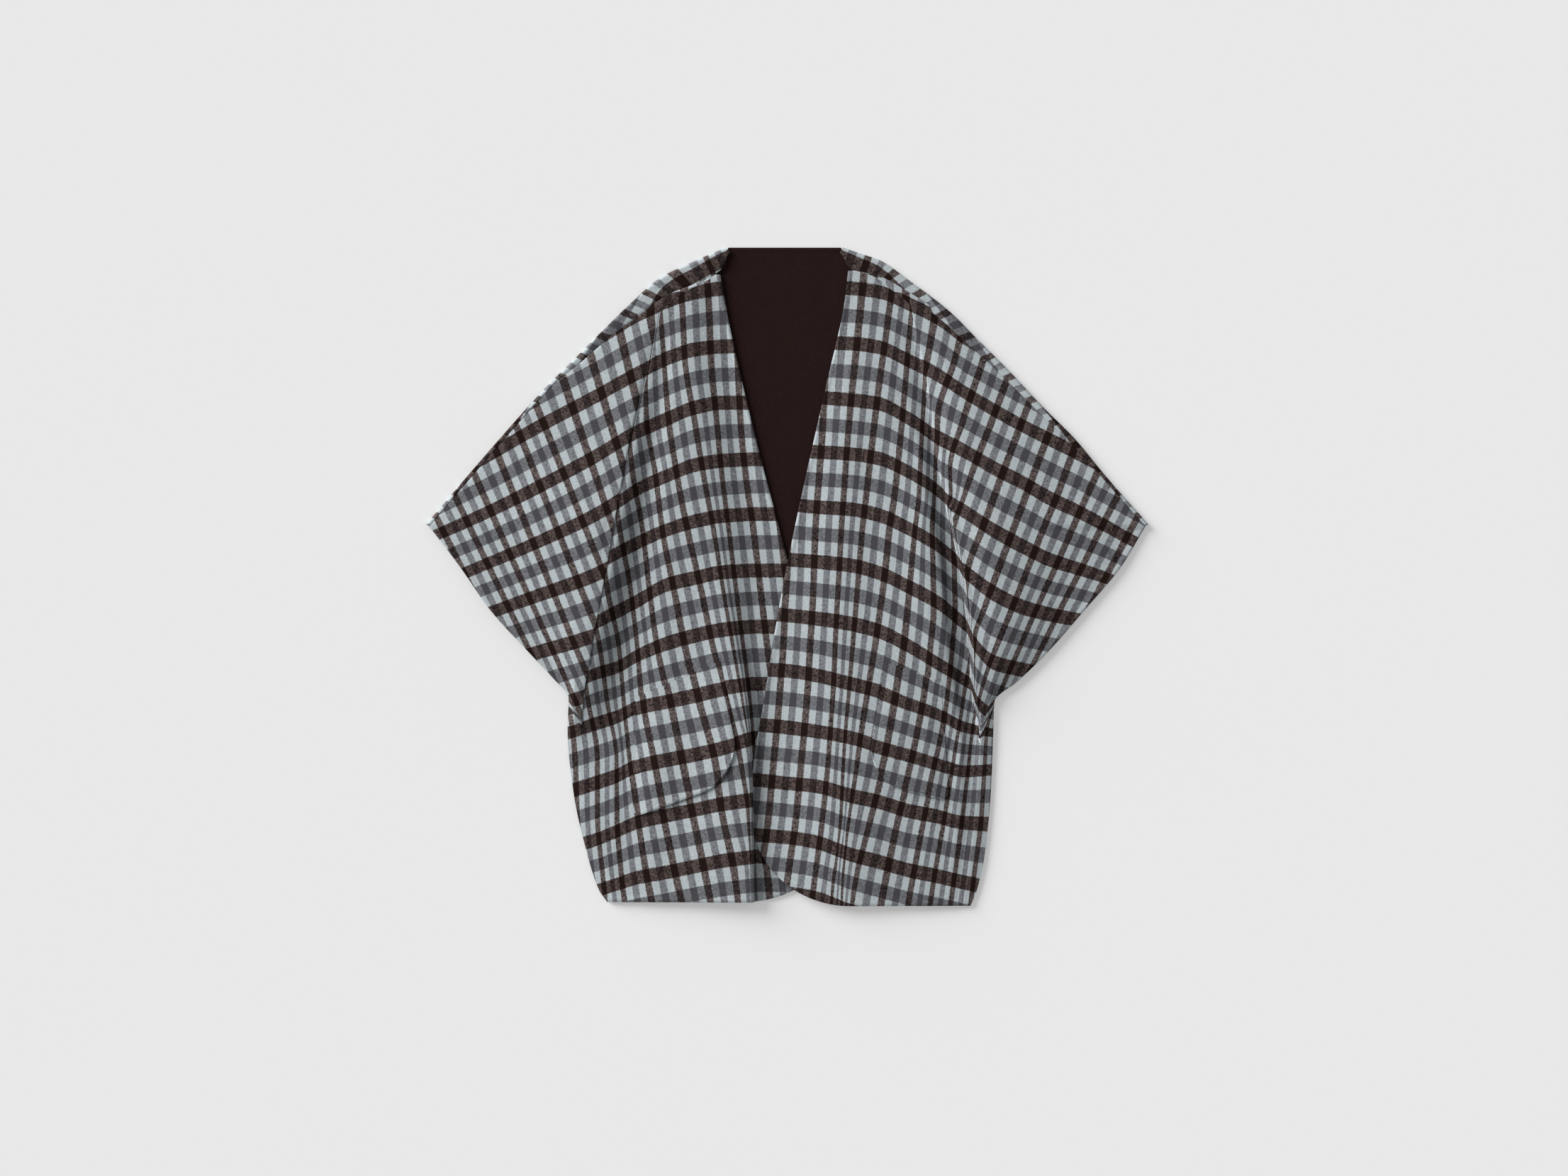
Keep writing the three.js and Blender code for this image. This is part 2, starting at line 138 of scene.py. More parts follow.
LEFT_LINES = {
    "edge": (
        (416, 82, 7), (366, 76, 7), (262, 53, 8), (110, 19, 9), (29, 2, 9.6), (-33, -10, 9.8),
        (-161, -31, 8),
        (-247, -44, 6.2), (-318, -48, 5.9),
    ),
    "crease": (
        (366, 98, 8), (243, 84, 11), (110, 76, 13.8), (-3, 74, 15.6), (-105, 76, 16.4), (-172, 79, 16.2),
        (-346, 74, 15), (-438, 72, 13.4),
    ),
    "slope": (
        (366, 124, 7.8), (300, 130, 9.4), (167, 140, 12), (15, 148, 15.4), (-99, 156, 16.4),
        (-175, 172, 14.4),
        (-270, 184, 11.4), (-438, 176, 9),
    ),
    "rim": (
        (366, 146, 7.4), (237, 160, 9.4), (164, 175, 12.2), (105, 179, 15), (30, 182, 17.2),
        (-44, 188, 18.4),
        (-99, 192, 18), (-175, 213, 13.2), (-270, 226, 8.8), (-438, 214, 7),
    ),
    "valley": (
        (366, 158, 7), (262, 182, 5.2), (179, 195, 4.2), (96, 210, 3.7), (5, 230, 3.4), (-77, 241, 3.4),
        (-123, 244, 3.4), (-161, 246, 3.6), (-201, 251, 4.2), (-270, 248, 5.2), (-346, 241, 5.4),
        (-438, 229, 5.4),
    ),
    "crest": (
        (366, 166, 7.6), (262, 189, 9.6), (179, 202, 12.6), (96, 218, 15.8), (5, 238, 18), (-77, 249, 18.6),
        (-123, 252, 17.4), (-161, 254, 14.4), (-201, 259, 8.4), (-270, 255, 6.4), (-346, 249, 5.6),
        (-438, 236, 5),
    ),
    "shelf": (
        (366, 190, 8), (285, 212, 10.6), (227, 226, 13.4), (149, 244, 16.6), (10, 270, 19.6),
        (-71, 280, 19.4),
        (-138, 274, 15.6), (-190, 267, 8.4), (-270, 264, 5.6), (-346, 258, 5), (-438, 240, 4.6),
    ),
    "outer": (
        (70, 480, 4.8), (15, 447, 5.4), (-42, 399, 5.8), (-99, 349, 6), (-137, 310, 6), (-166, 277, 5.6),
        (-204, 276, 4.6), (-282, 273, 3.4), (-373, 264, 3.4), (-418, 254, 3.4), (-440, 245, 3.5),
    ),
}
# Columns of the mesh between a line and the next, and how far the cloth doubles over itself in the fold that
# follows a line, at heights down the front
RIGHT_FRONT = {
    "side": "right",
    "out": -1,
    "lines": RIGHT_LINES,
    "columns": (24, 18, 20, 16, 14, 24, 58),
    "folded": {
        "step_foot": ((-80, 0), (-150, 3), (-230, 4), (-434, 4)),
        "under": ((300, 0), (200, 3), (100, 7), (0, 10), (-100, 10), (-150, 8), (-190, 5), (-215, 0)),
    },
    "sleeve_after": "under",
    "sleeve_from": (0.15, 0.25),
    "hem": {"y": -434, "round_from": -57, "edge": 73},
}
LEFT_FRONT = {
    "side": "left",
    "out": 1,
    "lines": LEFT_LINES,
    "columns": (26, 22, 16, 18, 16, 16, 50),
    "folded": {
        "rim": ((150, 0), (80, 4), (30, 7), (-44, 8), (-99, 8), (-150, 6), (-195, 0)),
        "valley": ((250, 0), (180, 2), (100, 3), (5, 4), (-77, 5), (-123, 5), (-161, 4), (-195, 0)),
    },
    "sleeve_after": "valley",
    "sleeve_from": (0.75, 0.25),
    "hem": {"y": -439, "round_from": 85, "edge": -48},
}

# Patch pockets: the square inner bottom corner, the turn of the bottom edge, and the lean of the inner and
# the outer edge as they rise, in degrees
POCKETS = {
    "right": {"corner": (-61, -268), "turn": 20, "lean": (10, -1), "width": 154, "height": 160},
    "left": {"corner": (102, -270), "turn": 14, "lean": (11, -4), "width": 118, "height": 160},
}
POCKET_ROUND = {"inner": 57, "outer": 10}
POCKET_LIFT = {"top": 2.1, "bottom": 3.2}

# The check as it lies: where each brown weft band crosses upright lines at x, one row a band, and where each
# brown warp stripe crosses level lines, one row a height. Sleeve and body have their own tables, because the
# cloth hidden in the fold between them shifts the check
RIGHT_BODY_BANDS = {
    "x": (-292, -257, -228, -200, -162, -124, -86, -48),
    0: (366, 393, 409, 426, 445, 458, 464, 466),
    1: (295, 317, 335, 352, 370, 382, 388, 390),
    2: (226, 243, 260, 274, 294, 306, 310, 311),
    3: (146, 162, 178, 196, 212, 228, 235, 235),
    4: (69, 84, 99, 119, 136, 151, 157, 159),
    5: (-6, 15, 34, 48, 64, 76, 83, 86),
    6: (-85, -61, -45, -31, -9, 0, 8, 10),
    7: (-147, -128, -120, -104, -88, -77, -69, -65),
    8: (-206, -194, -185, -172, -164, -156, -147, -142),
    9: (-286, -275, -265, -251, -242, -235, -226, -214),
    10: (-362, -351, -339, -327, -318, -310, -302, -297),
    11: (-426, -419, -410, -401, -394, -386, -378, -373),
    12: (-494, -489, -481, -475, -468, -460, -454, -449),
}
RIGHT_SLEEVE_BANDS = {
    "x": (-485, -409, -333, -257, -200, -150),
    0: (266, 307, 351, 393, 426, 450),
    1: (191, 233, 277, 317, 352, 374),
    2: (117, 159, 203, 243, 274, 299),
    3: (51, 84, 121, 162, 196, 217),
    4: (-16, 16, 48, 84, 119, 143),
    5: (-78, -50, -23, 4, 36, 67),
    6: (-149, -122, -99, -77, -50, -9),
    7: (-218, -199, -178, -153, -128, -85),
    8: (-291, -275, -254, -229, -204, -161),
}
RIGHT_BODY_STRIPES = {
    "stripe": (-4, -3, -2, -1, 0, 0.5, 1, 1.5, 2, 2.5, 3, 4, 5, 6, 7, 8, 9),
    442: (34, -3, -40, -76, -110, -129, -148, -162, -176, -188, -200, -227, -259, -295, -333, -371, -409),
    366: (39, 3, -33, -69, -105, -123, -141, -156, -171, -183, -195, -219, -254, -290, -328, -366, -404),
    290: (42, 6, -30, -66, -102, -120, -137, -151, -165, -178, -190, -216, -247, -285, -329, -367, -405),
    214: (45, 9, -27, -63, -95, -110, -124, -142, -159, -174, -189, -213, -243, -282, -330, -368, -406),
    138: (53, 17, -19, -56, -88, -100, -111, -130, -148, -162, -176, -207, -233, -261, -299, -337, -375),
    62: (63, 27, -9, -45, -79, -88, -97, -115, -133, -150, -167, -193, -224, -249, -276, -314, -352),
    -14: (73, 37, 0, -36, -70, -78, -85, -100, -115, -134, -152, -185, -210, -241, -266, -295, -333),
    -90: (81, 45, 9, -27, -61, -66, -72, -85, -99, -118, -137, -175, -201, -226, -251, -278, -309),
    -166: (91, 55, 19, -18, -52, -55, -59, -68, -79, -99, -119, -158, -195, -219, -241, -266, -292),
    -242: (98, 62, 26, -10, -46, -48, -49.5, -50.5, -62, -80, -98, -143, -180, -212, -228, -254, -284),
    -318: (103, 67, 31, -5, -44, -45.5, -47, -48.5, -50, -68, -86, -126, -166, -201, -228, -254, -281),
    -394: (118, 82, 46, 10, -27, -45.5, -46.5, -47.5, -48.5, -51.5, -70.5, -110, -150, -189, -223, -247, -276),
    -460: (124, 88, 52, 16, -20, -44, -46.5, -47.5, -48.5, -49.5, -62, -97, -135, -176, -215, -240, -266),
}
RIGHT_SLEEVE_STRIPES = {
    "stripe": (3, 4, 5, 6, 7, 8, 9, 10, 11, 12, 13),
    347: (-183, -228, -278, -327, -384, -420, -462, -513, -561, -603, -642),
    110: (-135, -170, -207, -247, -287, -325, -365, -406, -445, -484, -523),
    -128: (-88, -111, -135, -166, -190, -230, -268, -299, -329, -365, -404),
    -223: (-69, -86, -107, -133, -151, -192, -228, -257, -282, -318, -357),
}
LEFT_BODY_BANDS = {
    "x": (-43, 0, 38, 85, 123, 161, 199, 237, 275),
    0: (466, 465, 464, 462, 458, 444, 425, 399, 366),
    1: (392, 391, 390, 388, 383, 368, 349, 321, 288),
    2: (317, 316, 315, 314, 309, 292, 274, 249, 226),
    3: (247, 245, 242, 238, 233, 214, 189, 167, 148),
    4: (174, 171, 169, 166, 160, 143, 119, 89, 64),
    5: (104, 99, 95, 92, 84, 67, 45, 15, -19),
    6: (30, 25, 22, 17, 7, -11, -31, -61, -95),
    7: (-46, -50, -54, -61, -71, -90, -114, -137, -161),
    8: (-122, -124, -130, -142, -152, -167, -180, -200, -207),
    9: (-196, -200, -205, -213, -225, -235, -247, -258, -255),
    10: (-270, -275, -278, -291, -299, -311, -318, -327, -329),
    11: (-344, -347, -353, -370, -380, -391, -399, -408, -417),
    12: (-419, -422, -428, -445, -456, -466, -474, -483, -492),
}
LEFT_SLEEVE_BANDS = {
    "x": (150, 199, 237, 275, 313, 351, 389, 427, 465, 484),
    0: (452, 425, 393, 372, 351, 330, 309, 289, 269, 260),
    1: (373, 349, 321, 300, 279, 259, 239, 219, 199, 189),
    2: (299, 274, 249, 226, 205, 186, 167, 146, 125, 114),
    3: (219, 189, 170, 148, 129, 107, 89, 69, 48, 38),
    4: (148, 112, 89, 64, 43, 24, 12, 0, -16, -25),
    5: (72, 36, 9, -19, -38, -48, -55, -65, -80, -88),
    6: (-4, -50, -74, -114, -123, -130, -137, -147, -160, -168),
    7: (-80, -128, -152, -183, -194, -204, -213, -223, -236, -244),
    8: (-161, -204, -225, -253, -266, -276, -286, -297, -310, -318),
}
LEFT_BODY_STRIPES = {
    "stripe": (-2, -1, 0, 1, 2, 3, 4, 5, 6, 7, 8, 9, 10),
    442: (-54, -14, 26, 66, 106, 148, 178, 210, 247, 283, 319, 355, 391),
    328: (-65, -25, 15, 55, 95, 133, 164, 190, 229, 267, 305, 343, 381),
    252: (-68, -29, 10, 50, 87, 122, 158, 184, 210, 248, 287, 326, 365),
    186: (-69, -31, 7, 47, 81, 114, 152, 180, 200, 229, 264, 302, 340),
    110: (-72, -34, 4, 41, 76, 105, 144, 177, 196, 223, 248, 277, 319),
    67: (-73, -35, 2, 38, 73, 100, 137, 172, 193, 223, 251, 280, 313),
    8: (-76, -38, 0, 36, 70, 95, 131, 166, 195, 224, 252, 281, 313),
    -43: (-77, -40, -3, 34, 67, 91, 124, 161, 196, 225, 253, 282, 313),
    -90: (-79, -42, -5, 31, 65, 87, 117, 156, 192, 221, 249, 278, 306),
    -143: (-81, -45, -9, 28, 63, 83, 108, 149, 187, 216, 239, 261, 285),
    -204: (-87, -51, -14, 23, 59, 78, 98, 139, 176, 209, 229, 248, 267),
    -256: (-92, -56, -19, 18, 55, 75, 91, 128, 165, 197, 221, 242, 264),
    -330: (-100, -63, -26, 11, 47, 73, 80, 109, 147, 182, 209, 233, 259),
    -399: (-112, -74, -36, 1, 38, 64, 74, 91, 133, 169, 197, 224, 250),
    -460: (-119, -81, -43, -6, 30, 58, 72, 81, 121, 158, 188, 215, 243),
}
LEFT_SLEEVE_STRIPES = {
    "stripe": (5, 6, 7, 8, 9, 10, 11, 12, 13, 14, 15),
    376: (202, 245, 286, 328, 370, 412, 455, 497, 541, 585, 627),
    295: (188, 225, 263, 304, 347, 389, 432, 475, 517, 560, 603),
    214: (171, 201, 236, 275, 316, 358, 400, 443, 486, 529, 571),
    148: (178, 200, 217, 249, 291, 333, 375, 418, 461, 504, 546),
    110: (176, 196, 219, 235, 277, 319, 361, 401, 442, 484, 526),
    67: (144, 169, 192, 221, 261, 303, 343, 382, 420, 461, 503),
    8: (114, 147, 180, 212, 240, 281, 320, 356, 391, 430, 470),
    -40: (118, 148, 177, 207, 236, 263, 301, 334, 366, 404, 443),
    -81: (118, 147, 175, 204, 230, 249, 284, 316, 346, 382, 419),
    -120: (114, 142, 171, 199, 226, 248, 268, 299, 326, 361, 399),
    -161: (106, 134, 163, 191, 222, 244, 256, 281, 306, 337, 370),
    -194: (99, 128, 156, 185, 216, 237, 250, 267, 289, 318, 351),
}

# Creases of each front, in the place they have in the cloth: the points of the line, its half width and how
# high it stands, or how deep it lies
CREASES = {
    "right": (
        (((-330, 170), (-250, 60), (-215, -20)), 22, 1.0),
        (((-400, 60), (-330, -30), (-290, -110)), 26, -1.4),
        (((-120, 250), (-112, 60), (-100, -120)), 16, -0.8),
        (((-150, 20), (-158, -160), (-168, -330)), 14, 0.8),
        (((-232, -170), (-236, -260), (-228, -400)), 9, 1.4),
    ),
    "left": (
        (((330, 170), (270, 60), (240, -20)), 22, 0.8),
        (((410, 60), (340, -30), (300, -110)), 26, -1.2),
        (((110, 250), (112, 60), (120, -120)), 16, -0.7),
        (((150, 20), (156, -160), (160, -330)), 14, 0.8),
        (((240, -170), (232, -260), (226, -400)), 9, 1.4),
        (((246, -178), (256, -215), (252, -262)), 3, -1.6),
        (((228, -176), (233, -225), (230, -262)), 3.5, 1.2),
        (((262, -190), (258, -222), (254, -250)), 3, 1.2),
        (((189, 262), (212, 140), (238, 5), (249, -77), (254, -161)), 2.5, 0.8),
    ),
}


def curve(rows, at):
    """A cubic through rows of position and value: between two rows the value eases along the mean slope of
    its neighbours and never overshoots; outside them it holds."""
    rows = np.array(sorted(rows), float)
    place, value = rows[:, 0], rows[:, 1]
    rise = np.diff(value) / np.diff(place)
    slope = np.concatenate([rise[:1], np.zeros(len(rise) - 1), rise[-1:]])
    both = rise[:-1] * rise[1:]
    total = np.where(both > 0, rise[:-1] + rise[1:], 1)
    slope[1:-1] = np.where(both > 0, 2 * both / total, 0)
    i = np.clip(np.searchsorted(place, at, side="right") - 1, 0, len(rise) - 1)
    span = place[i + 1] - place[i]
    t = np.clip((at - place[i]) / span, 0, 1)
    ease = t * t * (3 - 2 * t)
    bend = span * t * (1 - t) * ((1 - t) * slope[i] - t * slope[i + 1])
    return value[i] + (value[i + 1] - value[i]) * ease + bend


def smooth(t):
    """Rises from 0 to 1 with level ends: 3t squared less 2t cubed."""
    t = np.clip(t, 0, 1)
    return t * t * (3 - 2 * t)


def eased(share, last):
    """The way from one line's height to the next: smooth, or half as smooth over the last stretch."""
    return (np.clip(share, 0, 1) + smooth(share)) / 2 if last else smooth(share)


def column(rows, key):
    """One column of a table of height, place and value, as rows of height and that column."""
    return [(row[0], row[key]) for row in rows]


def counted(numbers, places, value):
    """The number whose place is the value: by share between two neighbours, and on in step past the ends."""
    places = np.array(places)
    if places[-1].mean() < places[0].mean():
        places, value = -places, -value
    i = np.clip((places <= value).sum(axis=0) - 1, 0, len(numbers) - 2)
    low = np.take_along_axis(places, i[None], 0)[0]
    high = np.take_along_axis(places, i[None] + 1, 0)[0]
    numbers = np.array(numbers, float)
    return numbers[i] + (numbers[i + 1] - numbers[i]) * (value - low) / (high - low)


def check_at(bands, stripes, x, y):
    """Cloth coordinates at a place: how many warp stripes across and how many weft bands down it lies."""
    numbers = [key for key in bands if key != "x"]
    weft = counted(numbers, [curve(list(zip(bands["x"], bands[n])), x) for n in numbers], y)
    heights = [key for key in stripes if key != "stripe"]
    across = stripes["stripe"]
    places = [curve([(h, stripes[h][k]) for h in heights], y) for k in range(len(across))]
    return np.stack([counted(across, places, x), weft], -1)


def shoulder_at(rows, y):
    """A shoulder's fold line at a height: its point, the unit direction in from it, and the wrap's width."""
    x = curve(column(rows, 1), y)
    change = curve(column(rows, 1), y - 1) - curve(column(rows, 1), y + 1)
    along = np.stack([change, np.full_like(y, -2.0)], -1)
    along /= np.linalg.norm(along, axis=-1, keepdims=True)
    away = np.sign(rows[0][1])
    inward = np.stack([along[:, 1] * away, -along[:, 0] * away], -1)
    return np.stack([x, y], -1), inward, curve(column(rows, 2), y)


def seam_of(rows):
    """The front's side of a shoulder seam as rows of height and place across, from the neck to the cuff."""
    y = np.linspace(BACK_TOP_Y - 7, CUFF_TIP_Y, 260)
    point, inward, wrap = shoulder_at(rows, y)
    seam = point + inward * (wrap + SEAM_GAP)[:, None]
    return [(float(a), float(b)) for b, a in seam]


def wrap_top(sizes):
    """Where the middle of the cloth lies once the back has turned over a shoulder."""
    return sizes.cloth / MM / 2 + 2 * FOLD_RADIUS


def outer_at(front, y, top_z):
    """A front's outer boundary: the shoulder seam down to the cuff's tip, then the cuff and the side."""
    seam = np.array(front["seam"])
    low = y < seam[-1, 0]
    order = np.argsort(seam[:, 0])
    on_seam = np.interp(y, seam[order, 0], seam[order, 1])
    rows = front["lines"]["outer"]
    x = np.where(low, curve(column(rows, 1), y), on_seam)
    z = np.where(low, curve(column(rows, 2), y), top_z)
    return x, z


def hem_at(hem, x):
    """The height of a front's hem: level, then a quarter of an ellipse up to the front edge."""
    across = np.clip((x - hem["round_from"]) / (hem["edge"] - hem["round_from"]), 0, 1)
    return ROUND_TOP_Y + (hem["y"] - ROUND_TOP_Y) * np.sqrt(1 - across**2)


def crossings(front, y, top_z):
    """Each line's place and height at a row. Above its first row a fold has died out: it keeps its share of
    the width and rises to the seam."""
    found = []
    for name, rows in front["lines"].items():
        if name == "outer":
            found.append(outer_at(front, y, top_z))
            continue
        x, z = curve(column(rows, 1), y), curve(column(rows, 2), y)
        if name != "edge":
            top = rows[0][0]
            level = np.array([float(top)])
            edge_rows = front["lines"]["edge"]
            edge_top = curve(column(edge_rows, 1), level)
            outer_top = outer_at(front, level, top_z)[0]
            share = (rows[0][1] - edge_top) / (outer_top - edge_top)
            edge_x = curve(column(edge_rows, 1), y)
            above = y > top
            faded = np.clip((y - top) / (edge_rows[0][0] - top), 0, 1)
            x = np.where(above, edge_x + (outer_at(front, y, top_z)[0] - edge_x) * share, x)
            z = np.where(above, rows[0][2] + (top_z - rows[0][2]) * faded, z)
        found.append((x, z))
    return found


def creased(creases, x, y):
    """The rise of soft ridges and troughs: each is a bell across its line, with tapered ends."""
    rise = np.zeros_like(x)
    for points, width, height in creases:
        line = np.array(points, float)
        step = np.linalg.norm(np.diff(line, axis=0), axis=1)
        length = step.sum()
        nearest, along = np.full_like(x, 1e9), np.zeros_like(x)
        start = 0.0
        for a, b, size in zip(line[:-1], line[1:], step):
            d = (b - a) / size
            t = np.clip((x - a[0]) * d[0] + (y - a[1]) * d[1], 0, size)
            away = np.hypot(x - a[0] - d[0] * t, y - a[1] - d[1] * t)
            along = np.where(away < nearest, start + t, along)
            nearest = np.minimum(nearest, away)
            start += size
        taper = smooth(along / length / 0.3) * smooth((length - along) / length / 0.3)
        rise += height * taper * np.exp(-((nearest / width) ** 2))
    return rise


def front_height(front, x, y, top_z):
    """The middle surface's height at a place where the front isn't folded: eased from line to line."""
    t = (y - STRAIGHT_TO_Y) / (hem_at(front["hem"], x) - STRAIGHT_TO_Y)
    level = np.where(t > 0, STRAIGHT_TO_Y + (front["hem"]["y"] - STRAIGHT_TO_Y) * t, y)
    cross = crossings(front, level, top_z)
    z = cross[0][1]
    for k, ((x0, z0), (x1, z1)) in enumerate(zip(cross[:-1], cross[1:])):
        share = (x - x0) / (x1 - x0)
        z = np.where(share > 0, z0 + (z1 - z0) * eased(share, k == len(cross) - 2), z)
    return np.maximum(z + creased(front["creases"], x, y), FRONT_LOWEST)


def front_patch(front, top_z):
    """A front's middle surface as a grid of rows down and columns out. Between two lines the height eases from
    one to the other. Where the cloth doubles over itself, a sine carries it out and back on the way."""
    seam_end = front["seam"][-1][0]
    top = front["top"]
    level = np.concatenate([
        np.linspace(top, seam_end, 96),
        np.linspace(seam_end, UNDERARM_Y, 62)[1:],
        np.linspace(UNDERARM_Y, STRAIGHT_TO_Y, 13)[1:],
    ])
    fanned = 1 - (1 - np.linspace(0, 1, 62)[1:]) ** 1.15
    y_table = np.concatenate([level, STRAIGHT_TO_Y + (front["hem"]["y"] - STRAIGHT_TO_Y) * fanned])
    cross = crossings(front, y_table, top_z)
    xs, zs, names, shares = [], [], [], []
    line_names = list(front["lines"])
    last = len(front["columns"]) - 1
    for k, count in enumerate(front["columns"]):
        even = np.linspace(0, 1, count + 1)
        even = even if k == last else even[:-1]
        share = 1 - np.cos(even * np.pi / 2) if k == 0 else even
        share = np.sin(even * np.pi / 2) if k == last else share
        (x0, z0), (x1, z1) = cross[k], cross[k + 1]
        x = x0[:, None] + (x1 - x0)[:, None] * share
        z = z0[:, None] + (z1 - z0)[:, None] * eased(share, k == last)
        doubled = front["folded"].get(line_names[k])
        if doubled:
            depth = curve(doubled, y_table)[:, None]
            x = x + front["out"] * depth * np.sin(2 * np.pi * share)
        xs.append(x)
        zs.append(z)
        names += [k] * len(share)
        shares += list(share)
    x, z = np.concatenate(xs, 1), np.concatenate(zs, 1)
    y = np.repeat(y_table[:, None], x.shape[1], 1)
    edge_y = STRAIGHT_TO_Y + (ROUND_TOP_Y - STRAIGHT_TO_Y) * fanned
    foot = STRAIGHT_TO_Y + (hem_at(front["hem"], x[len(level):]) - STRAIGHT_TO_Y) * fanned[:, None]
    y[len(level):] = foot
    y[len(level):, 0] = edge_y
    x[len(level):, 0] = curve(column(front["lines"]["edge"], 1), edge_y)
    return x, y, z, np.array(names), np.array(shares), y_table


def from_edge(points, axis, end):
    """How far each point is from one end of its row or column, along the cloth."""
    step = np.linalg.norm(np.diff(points, axis=axis), axis=-1)
    if end == 1:
        step = np.flip(step, axis)
    run = np.cumsum(step, axis)
    zero = np.zeros_like(np.take(run, [0], axis))
    run = np.concatenate([zero, run], axis)
    return np.flip(run, axis) if end == 1 else run


def turned_edge(distance, inset):
    """How much further out the face of the cloth stands near a turned and stitched edge: rounded off at the
    edge, thicker as far as the stitches, and drawn in along them."""
    thick = 0.45 * (1 - smooth((distance - inset) / 2.5))
    drawn = -0.45 * np.exp(-(((distance - inset) / 1.1) ** 2))
    rounded = -0.9 * (1 - smooth(distance / 1.8))
    return thick + drawn + rounded


def shell(name, patches, thickness, faces):
    """A closed wall about a middle surface. Points that patches share are joined; each point moves along its
    mean normal by half the thickness and its own extra, and the open edges get a rim."""
    points = np.concatenate([p["points"].reshape(-1, 3) for p in patches])
    cloth = np.concatenate([p["cloth"].reshape(-1, 2) for p in patches])
    extra = np.concatenate([p["extra"].reshape(-1) for p in patches])
    key = np.round(points * 1e4).astype(np.int64)
    _, first, inverse = np.unique(key, axis=0, return_index=True, return_inverse=True)
    inverse = inverse.reshape(-1)
    corners, start = [], 0
    for p in patches:
        rows, columns = p["points"].shape[:2]
        ids = np.arange(start, start + rows * columns).reshape(rows, columns)
        corners.append(np.stack([ids[:-1, :-1], ids[1:, :-1], ids[1:, 1:], ids[:-1, 1:]], -1).reshape(-1, 4))
        start += rows * columns
    corners = np.concatenate(corners)
    quads = inverse[corners]
    middle, extra = points[first], extra[first]
    across = middle[quads[:, 2]] - middle[quads[:, 0]]
    down = middle[quads[:, 3]] - middle[quads[:, 1]]
    facing = np.cross(across, down)
    normal = np.zeros_like(middle)
    for corner in range(4):
        np.add.at(normal, quads[:, corner], facing)
    normal /= np.maximum(np.linalg.norm(normal, axis=1, keepdims=True), 1e-12)
    half = thickness / MM / 2
    upper = middle + normal * (half + extra)[:, None]
    lower = middle - normal * half
    count = len(middle)
    a = quads.reshape(-1)
    b = np.roll(quads, -1, axis=1).reshape(-1)
    rim = ~np.isin(a * count + b, b * count + a)
    a, b = a[rim], b[rim]
    wall = np.stack([a + count, b + count, b, a], -1)
    on, after = corners.reshape(-1)[rim], np.roll(corners, -1, axis=1).reshape(-1)[rim]
    drawn = np.concatenate([corners, corners[:, ::-1], np.stack([on, after, after, on], -1)])
    face = np.concatenate([quads, quads[:, ::-1] + count, wall])
    place = np.concatenate([upper, lower]) * MM
    place[:, 1] -= MIDDLE_Y * MM
    mesh = bpy.data.meshes.new(name)
    mesh.vertices.add(len(place))
    mesh.vertices.foreach_set("co", place.ravel())
    mesh.loops.add(face.size)
    mesh.loops.foreach_set("vertex_index", face.ravel().astype(np.int32))
    mesh.polygons.add(len(face))
    mesh.polygons.foreach_set("loop_start", np.arange(0, face.size, 4, dtype=np.int32))
    mesh.polygons.foreach_set("loop_total", np.full(len(face), 4, dtype=np.int32))
    layer = mesh.uv_layers.new(name="cloth")
    layer.data.foreach_set("uv", cloth[drawn.ravel()].astype(np.float32).ravel())
    slots = np.concatenate([
        np.full(len(quads), faces["upper"]),
        np.full(len(quads), faces["lower"]),
        np.full(len(wall), faces["rim"]),
    ])
    mesh.polygons.foreach_set("material_index", slots.astype(np.int32))
    mesh.polygons.foreach_set("use_smooth", np.ones(len(face), dtype=bool))
    mesh.materials.append(bpy.data.materials["check_wool"])
    mesh.materials.append(bpy.data.materials["brown_wool_face"])
    mesh.update(calc_edges=True)
    mesh.validate()
    mesh.set_sharp_from_angle(angle=SHARP_FROM)
    piece = bpy.data.objects.new(name, mesh)
    bpy.context.scene.collection.objects.link(piece)
    return piece


CHECK, BROWN = 0, 1
WEFT_SHARE = 0.557


def prepared(front):
    """A front's own record with its seam and its top row, where it is wide enough to have two corners."""
    rows = SHOULDER[front["side"]]
    seam = seam_of(rows)
    edge_top = front["lines"]["edge"][0]
    out = front["out"]
    inside = [y for y, x in seam if (x - edge_top[1]) * out > 5 and y < edge_top[0] + 6]
    return {**front, "seam": seam, "top": max(inside), "creases": CREASES[front["side"]]}


class Wire:
    """One output of a shader node; the usual signs on it add Math nodes."""

    def __init__(self, shader, socket):
        self.shader, self.socket = shader, socket

    def maths(self, operation, *values):
        return self.shader.node("ShaderNodeMath", {"operation": operation}, dict(enumerate(values)))

    def __add__(self, other):
        return self.maths("ADD", self, other)

    def __sub__(self, other):
        return self.maths("SUBTRACT", self, other)

    def __mul__(self, other):
        return self.maths("MULTIPLY", self, other)

    def __truediv__(self, other):
        return self.maths("DIVIDE", self, other)

    def __radd__(self, other):
        return self.maths("ADD", other, self)

    def __rsub__(self, other):
        return self.maths("SUBTRACT", other, self)

    def __rmul__(self, other):
        return self.maths("MULTIPLY", other, self)

    def __rtruediv__(self, other):
        return self.maths("DIVIDE", other, self)

    def fraction(self):
        return self.maths("FRACT", self)

    def size(self):
        return self.maths("ABSOLUTE", self)

    def held(self):
        """Between 0 and 1."""
        return self.shader.node("ShaderNodeClamp", {}, {0: self})


